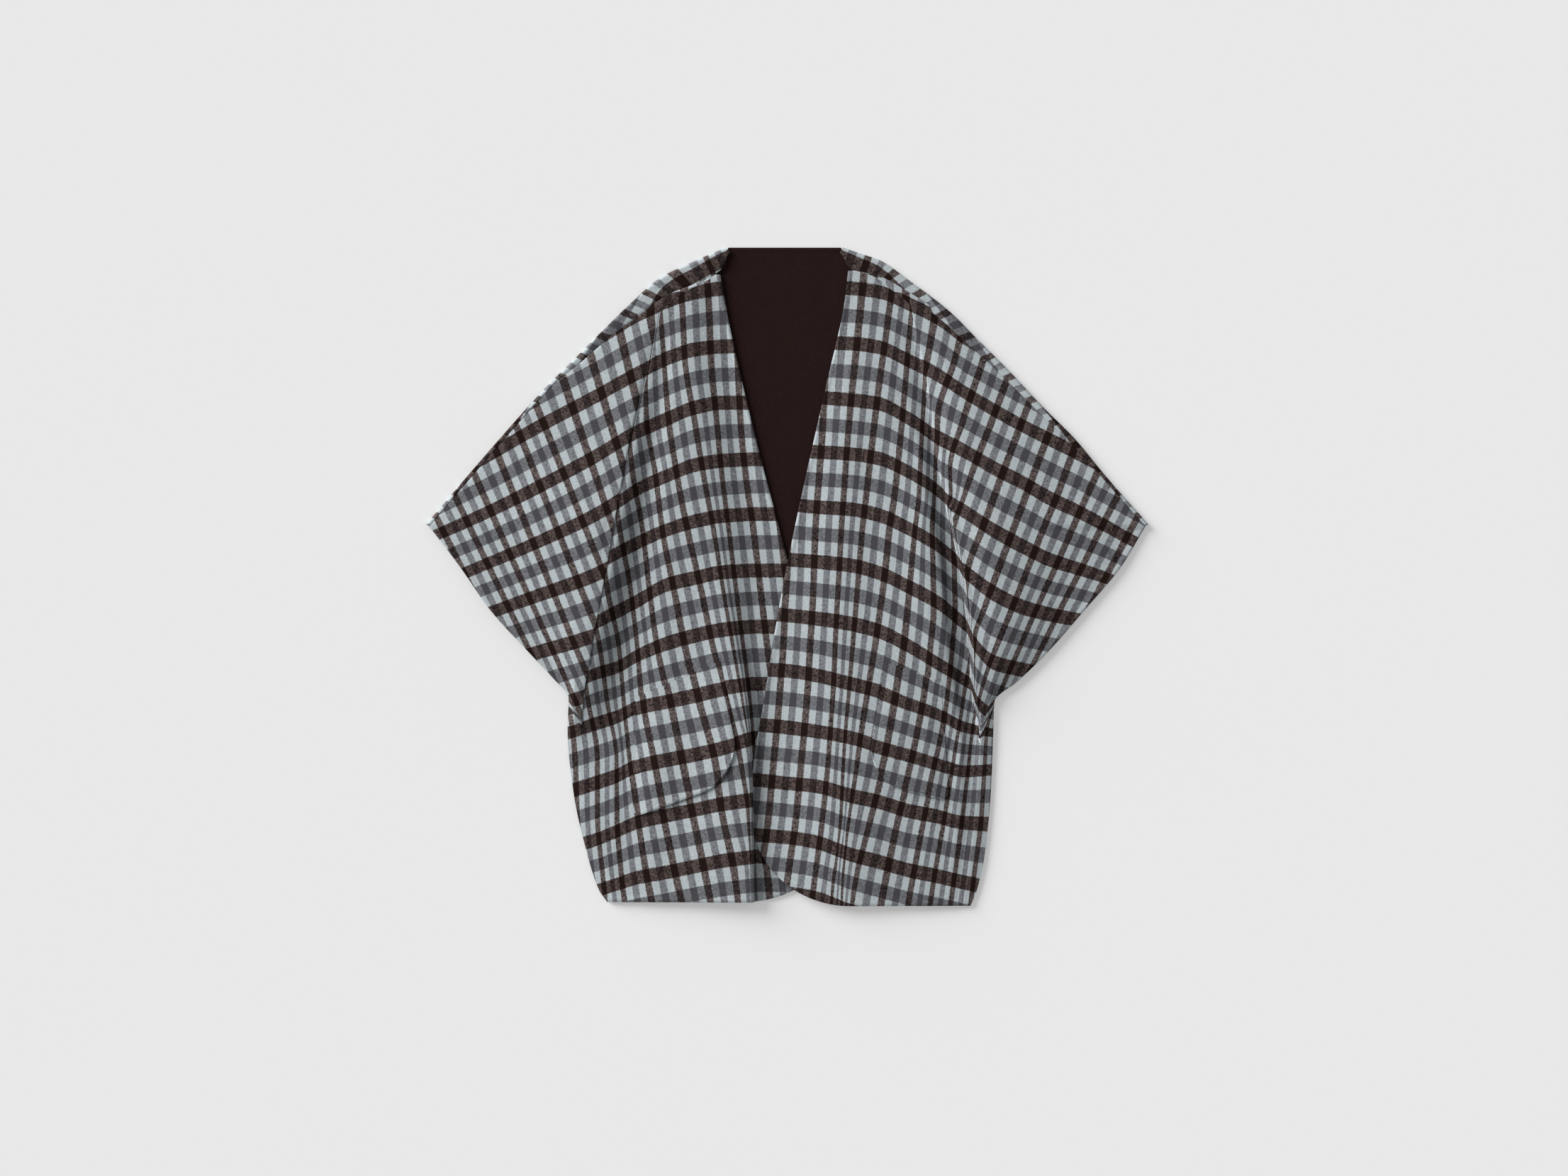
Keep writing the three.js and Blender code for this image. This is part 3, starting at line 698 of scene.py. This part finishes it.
class Shader:
    """A material whose nodes are made from expressions."""

    def __init__(self, name):
        self.material = bpy.data.materials.get(name) or bpy.data.materials.new(name)
        self.material.use_nodes = True
        self.tree = self.material.node_tree
        self.tree.nodes.clear()

    def node(self, kind, settings, inputs, output=0):
        """Adds a node: its settings first, then its sockets by name or number, each a number, colour or Wire."""
        made = self.tree.nodes.new(kind)
        for key, value in settings.items():
            setattr(made, key, value)
        for key, value in inputs.items():
            if isinstance(value, Wire):
                self.tree.links.new(value.socket, made.inputs[key])
            else:
                made.inputs[key].default_value = value
        return Wire(self, made.outputs[output]) if len(made.outputs) else None

    def mixed(self, factor, first, second):
        """A colour that goes from the first to the second with the factor."""
        settings = {"data_type": "RGBA", "clamp_factor": True}
        return self.node("ShaderNodeMix", settings, {0: factor, 6: first, 7: second}, 2)

    def shaded(self, colour, value):
        """A colour made lighter or darker by a factor."""
        return self.node("ShaderNodeVectorMath", {"operation": "SCALE"}, {0: colour, 3: value})

    def noise(self, place, scale, detail=2.0, roughness=0.5):
        return self.node("ShaderNodeTexNoise", {}, {
            "Vector": place, "Scale": scale, "Detail": detail, "Roughness": roughness,
        })

    def finished(self, colour, rough, height, strength, distance, sheen, sheen_rough, sheen_tint):
        bump = self.node("ShaderNodeBump", {}, {"Strength": strength, "Distance": distance, "Height": height})
        surface = self.node("ShaderNodeBsdfPrincipled", {}, {
            "Base Color": colour,
            "Roughness": rough,
            "Normal": bump,
            "Specular IOR Level": 0.03,
            "Sheen Weight": sheen,
            "Sheen Roughness": sheen_rough,
            "Sheen Tint": sheen_tint,
        })
        self.node("ShaderNodeOutputMaterial", {}, {"Surface": surface})
        return self.material


def check_wool(sizes, colours):
    """Brushed twill in a check. Warp and weft each run brown, light, grey, light in quarters of a repeat. Where
    they cross, the colour is the product of the two yarns, each to the power of its share of the face, in
    specks along the twill that stand out the more the yarns differ."""
    s = Shader("check_wool")
    place = s.node("ShaderNodeTexCoord", {}, {}, "Object")
    cloth = s.node("ShaderNodeTexCoord", {}, {}, "UV")
    fuzz = s.noise(place, 650, 2)
    yarns, counts, browns, greys = [], [], [], []
    systems = (("X", sizes.warp_repeat, 1 - WEFT_SHARE), ("Y", sizes.weft_repeat, WEFT_SHARE))
    for axis, repeat, share in systems:
        count = s.node("ShaderNodeSeparateXYZ", {}, {0: cloth}, axis)
        counts.append(count * (repeat / MM))
        edge = (fuzz - 0.5) * (1.6 * MM / repeat)
        from_brown = ((count + 0.5).fraction() - 0.5).size() + edge
        soft = 0.9 * MM / repeat
        browns.append(((0.125 - from_brown) / soft + 0.5).held())
        greys.append(((from_brown - 0.375) / soft + 0.5).held())
        light, grey, brown = (
            (*(part**share for part in yarn), 1) for yarn in (colours.light, colours.grey, colours.brown)
        )
        yarns.append(s.mixed(browns[-1], s.mixed(greys[-1], light, grey), brown))
    colour = s.node("ShaderNodeVectorMath", {"operation": "MULTIPLY"}, {0: yarns[0], 1: yarns[1]})
    differ = ((browns[0] - browns[1]).size() + (greys[0] - greys[1]).size() * 0.4).held()
    grain = s.noise(place, 330, 3, 0.75)
    twill = ((counts[0] + counts[1]) / 3.1 + grain * 1.3).fraction()
    speck = grain * 1.4 + twill * 0.16 - 0.78
    cloudy = s.noise(place, 45, 2)
    nap = s.noise(place, 420, 3)
    colour = s.shaded(colour, 1 - (browns[0] + browns[1]) * 0.22)
    colour = s.shaded(colour, 1 + speck * (0.5 + differ * 3.2) + (nap - 0.5) * 0.3 + (cloudy - 0.5) * 0.08)
    rough = 0.88 + nap * 0.1
    height = nap * 0.6 + twill * 0.4
    return s.finished(colour, rough, height, 0.3, 0.3 * MM, 0.01, 0.5, (1.0, 0.93, 0.9, 1))


def brown_wool_face(sizes, colours):
    """The plain brown face: a brushed nap that lies down the garment, a little uneven."""
    s = Shader("brown_wool_face")
    place = s.node("ShaderNodeTexCoord", {}, {}, "Object")
    brushed = s.node("ShaderNodeMapping", {}, {0: place, "Scale": (1.0, 0.45, 1.0)})
    nap = s.noise(brushed, 620, 3)
    cloudy = s.noise(place, 38, 3)
    pills = s.noise(place, 210, 1)
    brown = s.mixed(cloudy, (*colours.inside, 1), (*colours.inside_lit, 1))
    colour = s.shaded(brown, 0.72 + nap * 0.4 + (pills - 0.5) * 0.3)
    rough = 0.9 + nap * 0.08
    height = nap + pills * 0.4
    return s.finished(colour, rough, height, 0.4, 0.5 * MM, 0.1, 0.45, (1.0, 0.9, 0.86, 1))


def length(name, description, default, **limits):
    """A size that the panel shows in the scene's unit."""
    return FloatProperty(
        name=name, description=description, default=default, unit="LENGTH", subtype="DISTANCE", **limits,
    )


def tone(name, description, default):
    """A colour that the panel shows."""
    return FloatVectorProperty(
        name=name, description=description, size=3, default=default, min=0, max=1, subtype="COLOR",
    )


class CapeSizes(bpy.types.PropertyGroup):
    cloth: length("Cloth", "Thickness of the cloth", 0.002, min=0.001, max=0.003)
    warp_repeat: length("Warp repeat", "Width of the check across the garment", 0.0375)
    weft_repeat: length("Weft repeat", "Height of the check down the garment", 0.074)
    stitch_inset: length("Stitch inset", "From a turned edge to its stitches", 0.006)


class CapeColours(bpy.types.PropertyGroup):
    brown: tone("Brown yarn", "Colour of the brown yarn", (0.0243, 0.0134, 0.0115))
    light: tone("Light yarn", "Colour of the pale blue yarn", (0.385, 0.426, 0.443))
    grey: tone("Grey yarn", "Colour of the grey yarn", (0.057, 0.055, 0.062))
    inside: tone("Inside", "Colour of the brown face", (0.0165, 0.0078, 0.0076))
    inside_lit: tone(
        "Inside, brushed up", "Colour of the brown face where its nap stands up", (0.0205, 0.0096, 0.0090),
    )


class CapeStage(bpy.types.PropertyGroup):
    key: FloatProperty(name="Key light", description="Strength of the low light", default=5.48)
    fill: FloatProperty(name="Fill light", description="Strength of the light from all round", default=0.383)
    floor: tone("Surface", "Colour of the surface it lies on", (0.5, 0.5, 0.5))
    glow: FloatProperty(name="Glow", description="Light from below the surface", default=0.303)


def over_folds(key, x):
    """One column of the shoulder tables at a place across, from one cuff over the neck to the other."""
    rows = [(row[1], row[key]) for side in ("right", "left") for row in SHOULDER[side]]
    return curve(rows, x)


def back_check(x, y, sizes):
    """Cloth coordinates of the back: at a shoulder they are those of the fold. Further down the stripes even
    out, and the bands keep 0.45 of the shoulder's slope."""
    top = np.minimum(over_folds(0, x), BACK_TOP_Y)
    depth = np.maximum(top - y, 0)
    low = smooth(depth / 300)
    warp = over_folds(3, x) * (1 - low) + x / (sizes.warp_repeat / MM) * low
    fall = depth + 0.45 * (BACK_TOP_Y - top) * low
    return np.stack([warp, over_folds(4, x) * (1 - low) + 0.2 * low + fall / (sizes.weft_repeat / MM)], -1)


def back_patches(sizes):
    """The back: a flat panel whose hem arches a little, and on each shoulder a strip that turns through half a
    circle over the fold and runs on to the seam. Past the fold, a stripe moves up it by a share of the way."""
    middle = sizes.cloth / MM / 2
    top_z = wrap_top(sizes)
    turn_in = FOLD_RADIUS + middle
    section_y = CUFF_TIP_Y + (BACK_TOP_Y - CUFF_TIP_Y) * (1 - np.linspace(0, 1, BACK_GRID["shoulder"]) ** 1.4)
    starts = {}
    for side, rows in SHOULDER.items():
        point, inward, wrap = shoulder_at(rows, section_y)
        starts[side] = (point + inward * turn_in, inward, wrap)
    lower_y = np.linspace(CUFF_TIP_Y, BACK_HEM["side"], BACK_GRID["side"])[1:]
    share = np.linspace(0, 1, BACK_GRID["across"])
    left, right = starts["right"][0], starts["left"][0]
    upper = left[:, None] + (right - left)[:, None] * share[:, None]
    upper[0, 1:-1, 1] = BACK_TOP_Y
    side_left = curve(column(RIGHT_LINES["outer"], 1), lower_y) + BACK_INSET
    side_right = curve(column(LEFT_LINES["outer"], 1), lower_y) - BACK_INSET
    x = side_left[:, None] + (side_right - side_left)[:, None] * share
    t = ((CUFF_TIP_Y - lower_y) / (CUFF_TIP_Y - BACK_HEM["side"]))[:, None]
    arch = (BACK_HEM["middle"] - BACK_HEM["side"]) * (1 - (x / BACK_HEM["half_width"]) ** 2)
    lower = np.stack([x, lower_y[:, None] + np.maximum(0, arch) * t**3], -1)
    flat = np.concatenate([upper, lower])
    points = np.concatenate([flat, np.full(flat.shape[:2] + (1,), middle)], -1)
    floor_cloth = back_check(flat[..., 0], flat[..., 1], sizes)
    inset = sizes.stitch_inset / MM
    extra = turned_edge(np.abs(flat[..., 1] - BACK_TOP_Y), inset)
    extra = np.where(np.arange(len(flat))[:, None] < BACK_GRID["turned_rows"], extra, 0)
    free = from_edge(points, 0, 1)
    extra = extra + turned_edge(free, 9.0) * 0.5
    patches = [{"points": points, "cloth": floor_cloth, "extra": extra}]
    for side, (start, inward, wrap) in starts.items():
        turn = np.linspace(0, 1, BACK_GRID["turn"]) * np.pi
        out = FOLD_RADIUS * np.sin(turn)
        rise = FOLD_RADIUS * (1 - np.cos(turn))
        run = FOLD_RADIUS * turn
        flat_share = np.linspace(0, 1, BACK_GRID["wrap"])[1:]
        far = (wrap - turn_in)[:, None] * flat_share
        out = np.concatenate([np.repeat(out[None], len(wrap), 0), -far], 1)
        dip = SEAM_DIP * np.exp(-((wrap - turn_in)[:, None] - far) / 1.6)
        height = np.concatenate([np.repeat((middle + rise)[None], len(wrap), 0), top_z - dip], 1)
        run = np.concatenate([np.repeat(run[None], len(wrap), 0), FOLD_RADIUS * np.pi + far], 1)
        flat = start[:, None] - inward[:, None] * out[..., None]
        points = np.concatenate([flat, height[..., None]], -1)
        past = run - FOLD_RADIUS * np.pi / 2
        slant = WRAP_SLANT * smooth((rows[1][0] - section_y) / 40)[:, None] * np.maximum(past, 0)
        stripe = curve(column(rows, 3), section_y)[:, None]
        band = curve(column(rows, 4), section_y)[:, None]
        warp = stripe + np.sign(rows[0][3]) * slant / (sizes.warp_repeat / MM)
        cloth = np.stack([warp, band - past / (sizes.weft_repeat / MM)], -1)
        if side == "right":
            points, cloth = points[:, ::-1], cloth[:, ::-1]
        patches.append({"points": points, "cloth": cloth, "extra": np.zeros(points.shape[:2])})
    return patches


def front_surface(front, sizes):
    """A front's grid with its height, its cloth coordinates and its turned edges."""
    top_z = wrap_top(sizes)
    x, y, z, part, share, level = front_patch(front, top_z)
    names = list(front["lines"])
    calm = 1.0
    for name, rows in front["folded"].items():
        here = (part == names.index(name))[None]
        calm = calm * np.where(here, 1 - smooth(curve(rows, level)[:, None] / 3), 1)
    z = z + creased(front["creases"], x, y) * calm
    seam_gap = np.array(front["seam"])
    order = np.argsort(seam_gap[:, 0])
    to_seam = np.abs(np.interp(y, seam_gap[order, 0], seam_gap[order, 1]) - x)
    z = z - np.where(y > FRONT_TIP_Y - 4, SEAM_DIP * np.exp(-to_seam / 2.2), 0)
    z = np.maximum(z, FRONT_LOWEST)
    points = np.stack([x, y, z], -1)
    tables = CHECKS[front["side"]]
    body = check_at(*tables["body"], x, y)
    sleeve = check_at(*tables["sleeve"], x, y)
    k = names.index(front["sleeve_after"])
    start, over = front["sleeve_from"]
    weight = np.where(part > k, 1.0, np.where(part < k, 0.0, smooth((share - start) / over)))[None]
    (x0, y0), (x1, y1) = tables["underarm"]
    beyond = ((x1 - x0) * (y - y0) - (y1 - y0) * (x - x0)) / math.hypot(x1 - x0, y1 - y0)
    weight = weight * smooth(np.maximum(beyond, y - max(y0, y1)) / 7 + 0.5)
    cloth = body * (1 - weight)[..., None] + sleeve * weight[..., None]
    inset = sizes.stitch_inset / MM
    free_hem = from_edge(points, 0, 1)
    free_front = from_edge(points, 1, 0)
    free_side = from_edge(points, 1, 1)
    cuff = smooth((y - UNDERARM_Y) / 6) * smooth((FRONT_TIP_Y - 1 - y) / 6)
    extra = turned_edge(np.minimum(free_hem, free_front), inset) + turned_edge(free_side, 8.0) * cuff
    if front["out"] < 0:
        points, cloth, extra = points[:, ::-1], cloth[:, ::-1], extra[:, ::-1]
    return {"points": points, "cloth": cloth, "extra": extra}


def pocket_surface(pocket, front, sizes):
    """A patch pocket: a grid on its front's own surface, moved out from it along the surface's normal."""
    top_z = wrap_top(sizes)
    out = front["out"]
    turn = math.radians(pocket["turn"])
    outward = np.array([out * math.cos(turn), -math.sin(turn)])
    across = pocket["width"] * np.linspace(0, 1, POCKET_GRID)[None, :] ** 1.3
    inner = np.maximum(0, POCKET_ROUND["inner"] - across)
    outer = np.maximum(0, across - (pocket["width"] - POCKET_ROUND["outer"]))
    radius = np.where(inner > 0, POCKET_ROUND["inner"], POCKET_ROUND["outer"])
    foot = radius - np.sqrt(np.maximum(0, radius**2 - (inner + outer) ** 2))
    down = np.linspace(0, 1, POCKET_GRID)[:, None]
    height = pocket["height"] + (foot - pocket["height"]) * down
    lean = np.radians(pocket["lean"][0] + (pocket["lean"][1] - pocket["lean"][0]) * across / pocket["width"])
    x = pocket["corner"][0] + outward[0] * across + out * np.sin(lean) * height
    y = pocket["corner"][1] + outward[1] * across + np.cos(lean) * height
    step = 2.0
    z = front_height(front, x, y, top_z)
    dx = (front_height(front, x + step, y, top_z) - front_height(front, x - step, y, top_z)) / (2 * step)
    dy = (front_height(front, x, y + step, top_z) - front_height(front, x, y - step, top_z)) / (2 * step)
    normal = np.stack([-dx, -dy, np.ones_like(z)], -1)
    normal /= np.linalg.norm(normal, axis=-1, keepdims=True)
    lift = POCKET_LIFT["top"] + (POCKET_LIFT["bottom"] - POCKET_LIFT["top"]) * smooth(down * 1.2)
    points = np.stack([x, y, z], -1) + normal * lift[..., None]
    cloth = check_at(*CHECKS[front["side"]]["body"], x, y) + np.array([0.05, -0.02])
    sides = np.minimum(from_edge(points, 1, 0), from_edge(points, 1, 1))
    plain = -1.8 * (1 - smooth(from_edge(points, 0, 0) / 60) * smooth(sides / 25))
    extra = turned_edge(from_edge(points, 0, 1), 5.0) + plain
    if out < 0:
        points, cloth, extra = points[:, ::-1], cloth[:, ::-1], extra[:, ::-1]
    return {"points": points, "cloth": cloth, "extra": extra}


CHECKS = {
    "right": {
        "body": (RIGHT_BODY_BANDS, RIGHT_BODY_STRIPES),
        "sleeve": (RIGHT_SLEEVE_BANDS, RIGHT_SLEEVE_STRIPES),
        "underarm": ((-300, -155), (-276, -190)),
    },
    "left": {
        "body": (LEFT_BODY_BANDS, LEFT_BODY_STRIPES),
        "sleeve": (LEFT_SLEEVE_BANDS, LEFT_SLEEVE_STRIPES),
        "underarm": ((256, -216), (276, -162)),
    },
}


class CAPE_OT_materials(bpy.types.Operator):
    """Makes the check wool and the brown wool face"""

    bl_idname = "cape.materials"
    bl_label = "Cloth"

    def execute(self, context):
        scene = context.scene
        check_wool(scene.cape_sizes, scene.cape_colours)
        brown_wool_face(scene.cape_sizes, scene.cape_colours)
        return {"FINISHED"}


class CAPE_OT_back(bpy.types.Operator):
    """Makes the back, brown inside and checked outside, with a wrap over each shoulder"""

    bl_idname = "cape.back"
    bl_label = "Back"

    def execute(self, context):
        sizes = context.scene.cape_sizes
        faces = {"upper": BROWN, "lower": CHECK, "rim": BROWN}
        piece = shell("back_cloth", back_patches(sizes), sizes.cloth, faces)
        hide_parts("back", "shoulder_right", "shoulder_left")
        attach(piece, "root")
        return {"FINISHED"}


class CAPE_OT_fronts(bpy.types.Operator):
    """Makes the two fronts with their sleeves cut in one, each folded over itself below the shoulder"""

    bl_idname = "cape.fronts"
    bl_label = "Fronts"

    def execute(self, context):
        sizes = context.scene.cape_sizes
        faces = {"upper": CHECK, "lower": BROWN, "rim": CHECK}
        for front in (RIGHT_FRONT, LEFT_FRONT):
            name = "front_" + front["side"]
            surface = front_surface(prepared(front), sizes)
            piece = shell(name + "_cloth", [surface], sizes.cloth, faces)
            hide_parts(name)
            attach(piece, "root")
        return {"FINISHED"}


class CAPE_OT_pockets(bpy.types.Operator):
    """Makes the two patch pockets, each on its front"""

    bl_idname = "cape.pockets"
    bl_label = "Pockets"

    def execute(self, context):
        sizes = context.scene.cape_sizes
        faces = {"upper": CHECK, "lower": BROWN, "rim": CHECK}
        for front in (RIGHT_FRONT, LEFT_FRONT):
            side = front["side"]
            surface = pocket_surface(POCKETS[side], prepared(front), sizes)
            piece = shell("pocket_" + side + "_cloth", [surface], sizes.cloth, faces)
            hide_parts("pocket_" + side)
            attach(piece, "root")
            "front_" + side + "_cloth"
        return {"FINISHED"}


class CAPE_OT_stage(bpy.types.Operator):
    """Makes the pale surface, the light and the camera straight above"""

    bl_idname = "cape.stage"
    bl_label = "Stage"

    def execute(self, context):
        scene = context.scene
        stage = scene.cape_stage
        surface = Shader("pale_surface")
        place = surface.node("ShaderNodeTexCoord", {}, {}, "Object")
        even = surface.noise(place, 3, 1)
        colour = surface.shaded(tuple(stage.floor), 0.998 + even * 0.004)
        # The surface also glows evenly: painted light from a surface that is no lamp, which lightens the shadows
        # cast on it
        plain = surface.node("ShaderNodeBsdfPrincipled", {}, {
            "Base Color": colour, "Roughness": 0.95, "Specular IOR Level": 0.0,
            "Emission Color": (1, 1, 1, 1), "Emission Strength": stage.glow,
        })
        surface.node("ShaderNodeOutputMaterial", {}, {"Surface": plain})
        half, z = 6.0, -0.3 * MM
        mesh = bpy.data.meshes.new("surface")
        corners = [(-half, -half, z), (half, -half, z), (half, half, z), (-half, half, z)]
        mesh.from_pydata(corners, [], [(0, 1, 2, 3)])
        mesh.materials.append(surface.material)
        floor = bpy.data.objects.new("surface", mesh)
        scene.collection.objects.link(floor)

        world = bpy.data.worlds.new("studio")
        scene.world = world
        world.use_nodes = True
        world.node_tree.nodes["Background"].inputs[0].default_value = (1, 1, 1, 1)
        world.node_tree.nodes["Background"].inputs[1].default_value = stage.fill

        sun = bpy.data.lights.new("key", "SUN")
        sun.energy = stage.key
        sun.angle = math.radians(SUN_DISC)
        key = bpy.data.objects.new("key", sun)
        toward = Vector(SUN_TOWARD)
        key.rotation_mode = "QUATERNION"
        key.rotation_quaternion = toward.to_track_quat("-Z", "Y")
        key.location = -toward * 2
        scene.collection.objects.link(key)

        lens = bpy.data.cameras.new("above")
        lens.lens, lens.sensor_width = 100, 36
        lens.clip_end = 50
        camera = bpy.data.objects.new("above", lens)
        camera.location = CAMERA_AT
        scene.collection.objects.link(camera)
        scene.camera = camera
        scene.view_settings.view_transform = "Standard"
        scene.view_settings.look = "None"
        return {"FINISHED"}


class CAPE_PT_panel(bpy.types.Panel):
    bl_idname = "CAPE_PT_panel"
    bl_label = "Cape"
    bl_space_type = "VIEW_3D"
    bl_region_type = "UI"
    bl_category = "Cape"

    def draw(self, context):
        scene = context.scene
        for group in (scene.cape_sizes, scene.cape_colours, scene.cape_stage):
            for key in group.__annotations__:
                self.layout.prop(group, key)
        for made in OPERATORS:
            self.layout.operator(made.bl_idname)


OPERATORS = (CAPE_OT_materials, CAPE_OT_back, CAPE_OT_fronts, CAPE_OT_pockets, CAPE_OT_stage)
GROUPS = {"cape_sizes": CapeSizes, "cape_colours": CapeColours, "cape_stage": CapeStage}


def register():
    for made in (*GROUPS.values(), *OPERATORS, CAPE_PT_panel):
        bpy.utils.register_class(made)
    for key, group in GROUPS.items():
        setattr(bpy.types.Scene, key, PointerProperty(type=group))


def unregister():
    for key in GROUPS:
        delattr(bpy.types.Scene, key)
    for made in reversed((*GROUPS.values(), *OPERATORS, CAPE_PT_panel)):
        bpy.utils.unregister_class(made)


def main():
    register()
    bpy.ops.cape.materials()
    bpy.ops.cape.back()
    bpy.ops.cape.fronts()
    bpy.ops.cape.pockets()
    bpy.ops.cape.stage()


if __name__ == "__main__":
    main()
